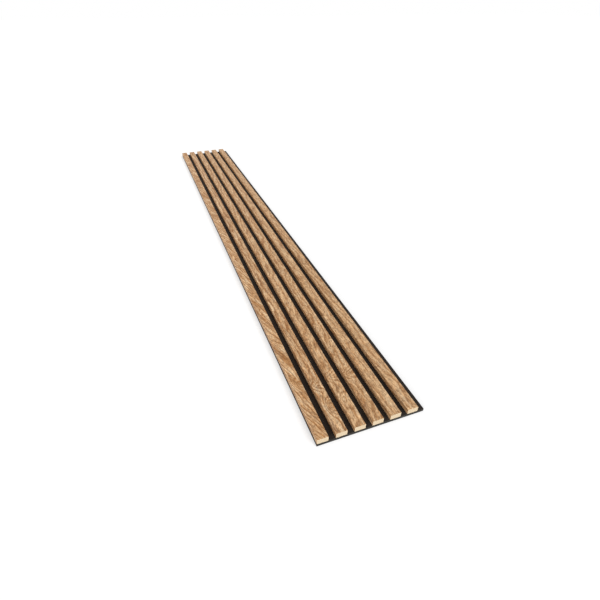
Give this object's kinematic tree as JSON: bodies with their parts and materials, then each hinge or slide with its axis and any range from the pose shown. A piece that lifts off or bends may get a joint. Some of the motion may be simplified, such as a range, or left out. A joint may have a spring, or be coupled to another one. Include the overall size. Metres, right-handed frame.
{
  "type": "acoustic slat wall panel",
  "caption": "Long wall panel of oak-wrapped slats set apart on a black felt backing that absorbs sound.",
  "frame": {"origin": "middle of the felt's back face, which goes against the wall", "axes": "+X across the slats from the narrow felt lip to the wide one, +Y along the slats, +Z out of the wall through the slats' faces"},
  "size_m": [0.3, 2.4, 0.0246],
  "materials": {
    "felt": "black pressed polyester felt, dull",
    "fibreboard": "bare sawn fibreboard, pale",
    "oak": "honey oak, matt lacquer",
    "staple_steel": "galvanised wire"
  },
  "bodies": {
    "root": {"felt_backing": "felt", "slat_1_core": "fibreboard", "slat_2_core": "fibreboard", "slat_3_core": "fibreboard", "slat_4_core": "fibreboard", "slat_5_core": "fibreboard", "slat_6_core": "fibreboard", "slat_1_wrap": "oak", "slat_2_wrap": "oak", "slat_3_wrap": "oak", "slat_4_wrap": "oak", "slat_5_wrap": "oak", "slat_6_wrap": "oak", "staples": "staple_steel"}
  },
  "joints": []
}
